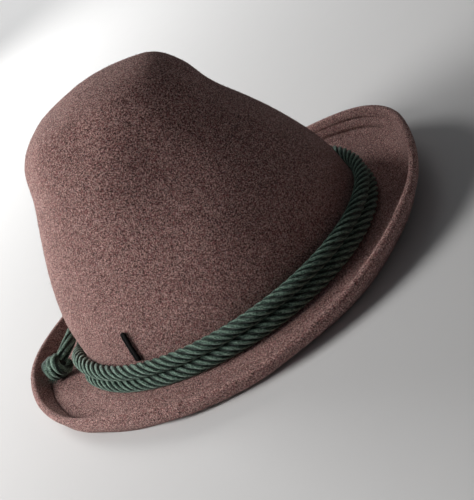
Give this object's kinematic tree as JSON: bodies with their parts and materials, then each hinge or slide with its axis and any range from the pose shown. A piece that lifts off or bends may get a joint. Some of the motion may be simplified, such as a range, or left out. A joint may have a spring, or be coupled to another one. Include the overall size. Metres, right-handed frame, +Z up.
{
  "type": "tyrolean hat",
  "caption": "Felt tyrolean hat with a soft dented dome, a brim turned up at the back, a doubled twisted cord knotted at the back and a short thread loop for a feather.",
  "frame": {"origin": "middle of the hat's footprint on the surface it rests on, at the flattened underside of the brim", "axes": "+X to the front of the hat, +Y to the wearer's left, +Z up through the crown"},
  "size_m": [0.284, 0.2358, 0.1484],
  "materials": {
    "felt": "brown wool felt",
    "cord_green": "dark green twisted cord",
    "thread_black": "black thread"
  },
  "bodies": {
    "root": {"felt_hood": "felt", "cord": "cord_green", "cord_knot": "cord_green", "thread_loop": "thread_black"}
  },
  "joints": []
}
